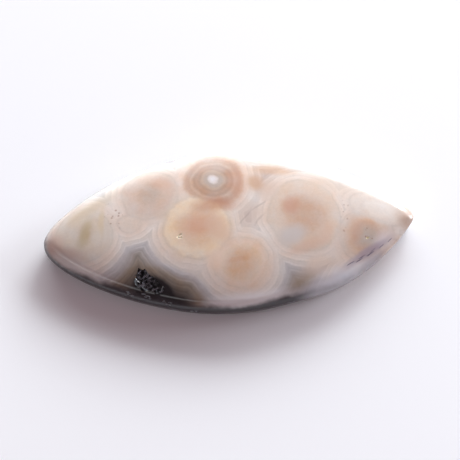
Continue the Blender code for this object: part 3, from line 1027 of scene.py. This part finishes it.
def quartzMaterial():
    # Milky rock crystal, small natural points. It gives pale, sharp glints over the dark ground.
    material = bpy.data.materials.new("milkyRockCrystal")
    material.use_nodes = True
    shader = material.node_tree.nodes["Principled BSDF"]
    shader.inputs["Base Color"].default_value = linearColour(quartz["colour"])
    shader.inputs["Roughness"].default_value = quartz["roughness"]
    shader.inputs["IOR"].default_value = quartz["ior"]
    shader.inputs["Transmission Weight"].default_value = quartz["clearness"]
    return material


def modelCrust():
    dice = random.Random(quartz["seed"])
    model = modelQuartzPoint()
    points = []
    while len(points) < quartz["count"]:
        point = standPoint(model, dice)
        if point:
            points.append(point)
    bpy.data.objects.remove(model)
    deselectAll()
    for point in points:
        point.select_set(True)
    bpy.context.view_layer.objects.active = points[0]
    bpy.ops.object.join()
    crust = bpy.context.object
    crust.name = "pocketQuartz"
    crust.data.materials.append(quartzMaterial())
    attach(crust, "root")
    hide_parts("pocket_crystals")
    print("quartz points placed:", len(points))


if pocketGround:
    modelCrust()


# The studio. An azimuth runs from straight behind the stone round to its right. away and the sizes
# are metres, roll lifts a light's left end by that many degrees, and fade is the share of its width
# and height over which each edge goes dark.
studio = {
    "floorSize": 1.7,
    "floorDrop": 0.02,  # mm
    "floorColour": "f4f3f6",
    "floorRoughness": 0.9,
    "floorGloss": 0.1,
    "softbox": {
        "azimuth": 5, "elevation": 17, "away": 0.9, "wide": 1.5, "high": 0.62, "watts": 19.3,
        "colour": "f4fcff", "fade": 0.3, "roll": 5,
    },
    "sideBox": {
        "azimuth": 32, "elevation": 21, "away": 0.9, "wide": 0.8, "high": 0.42, "watts": 20.0,
        "colour": "f4fcff", "fade": 0.3, "roll": 6,
    },
    "frontCard": {
        "azimuth": 222, "elevation": 44, "away": 0.6, "wide": 1.1, "high": 0.2, "watts": 1.2,
        "colour": "fbfdff", "fade": 0.3, "roll": 0,
    },
    "rightFill": {
        "azimuth": 73, "elevation": 18, "away": 0.9, "wide": 0.6, "high": 0.4, "watts": 10.5,
        "colour": "eff9ff", "fade": 0.3, "roll": 0,
    },
    "roomColour": "ffd0d9",
    "roomStrength": 0.18,
    "backdropColour": "fcfcfe",
}


def addFloor():
    deselectAll()
    bpy.ops.mesh.primitive_plane_add(size=studio["floorSize"], location=(0, 0, -studio["floorDrop"] * mm))
    floor = bpy.context.object
    floor.name = "paleFloor"
    material = bpy.data.materials.new("mattWhitePaper")
    material.use_nodes = True
    shader = material.node_tree.nodes["Principled BSDF"]
    shader.inputs["Base Color"].default_value = linearColour(studio["floorColour"])
    shader.inputs["Roughness"].default_value = studio["floorRoughness"]
    shader.inputs["Specular IOR Level"].default_value = studio["floorGloss"]
    floor.data.materials.append(material)


def fadeEdges(light, fade):
    # a softbox is brightest in its middle, so its reflection in the polish has a soft edge
    light.use_nodes = True
    tree = light.node_tree
    tree.nodes.clear()
    spot = addNode(tree, "NewGeometry").outputs["Parametric"]
    spot = addNode(tree, "VectorMath", {0: spot, 1: (0.5, 0.5, 0)}, operation="SUBTRACT").outputs[0]
    spot = addNode(tree, "VectorMath", {0: spot}, operation="ABSOLUTE").outputs[0]
    across = addNode(tree, "SeparateXYZ", {0: spot})
    glow = 1.0
    for axis in ("X", "Y"):
        edge = {0: across.outputs[axis], 1: 0.5, 2: 0.5 - fade}
        lit = addNode(tree, "MapRange", edge, interpolation_type="SMOOTHSTEP").outputs[0]
        glow = addNode(tree, "Math", {0: glow, 1: lit}, operation="MULTIPLY").outputs[0]
    emission = addNode(tree, "Emission", {"Strength": glow})
    addNode(tree, "OutputLight", {0: emission.outputs[0]})


def addSoftLight(name):
    card = studio[name]
    light = bpy.data.lights.new(name, "AREA")
    light.shape = "RECTANGLE"
    light.size = card["wide"]
    light.size_y = card["high"]
    light.energy = card["watts"]
    light.color = linearColour(card["colour"])[:3]
    fadeEdges(light, card["fade"])
    lamp = bpy.data.objects.new(name, light)
    bpy.context.scene.collection.objects.link(lamp)
    azimuth, elevation = math.radians(card["azimuth"]), math.radians(card["elevation"])
    level = math.cos(elevation)
    towards = Vector((math.sin(azimuth) * level, math.cos(azimuth) * level, math.sin(elevation)))
    lamp.location = towards * card["away"]
    roll = Matrix.Rotation(math.radians(card["roll"]), 3, "Z")
    lamp.rotation_euler = (towards.to_track_quat("Z", "Y").to_matrix() @ roll).to_euler()
    lamp.visible_camera = False


def addRoom():
    # the floor's pale backdrop is only for the camera; the stone gets a faint pink room
    world = bpy.data.worlds.new("paleStudio")
    bpy.context.scene.world = world
    world.use_nodes = True
    tree = world.node_tree
    tree.nodes.clear()
    room = {0: linearColour(studio["roomColour"]), 1: studio["roomStrength"]}
    room = addNode(tree, "Background", room).outputs[0]
    seen = addNode(tree, "Background", {0: linearColour(studio["backdropColour"]), 1: 1.0}).outputs[0]
    path = addNode(tree, "LightPath")
    mix = addNode(tree, "MixShader", {0: path.outputs["Is Camera Ray"], 1: room, 2: seen})
    addNode(tree, "OutputWorld", {0: mix.outputs[0]})


# The camera stands at the photo's viewing angle. Its target, distance, lens and sensor are mm.
view = {
    "target": (0.05, -0.03, 2.0),
    "azimuth": -4.43,
    "elevation": 65.0,
    "away": 146.56,
    "lens": 85,
    "sensor": 36,
    "sees": (0.01, 20),  # metres, from near to far
}


def addCamera():
    data = bpy.data.cameras.new("camera")
    data.lens = view["lens"]
    data.sensor_width = view["sensor"]
    data.clip_start, data.clip_end = view["sees"]
    camera = bpy.data.objects.new("camera", data)
    bpy.context.scene.collection.objects.link(camera)
    azimuth, elevation = math.radians(view["azimuth"]), math.radians(view["elevation"])
    level = math.cos(elevation)
    away = Vector((math.sin(azimuth) * level, -math.cos(azimuth) * level, math.sin(elevation)))
    camera.location = (Vector(view["target"]) + away * view["away"]) * mm
    camera.rotation_euler = away.to_track_quat("Z", "Y").to_euler()
    bpy.context.scene.camera = camera


addFloor()
for name in ("softbox", "sideBox", "frontCard", "rightFill"):
    addSoftLight(name)
addRoom()
addCamera()
bpy.context.scene.view_settings.view_transform = "Standard"
print("studio lit")
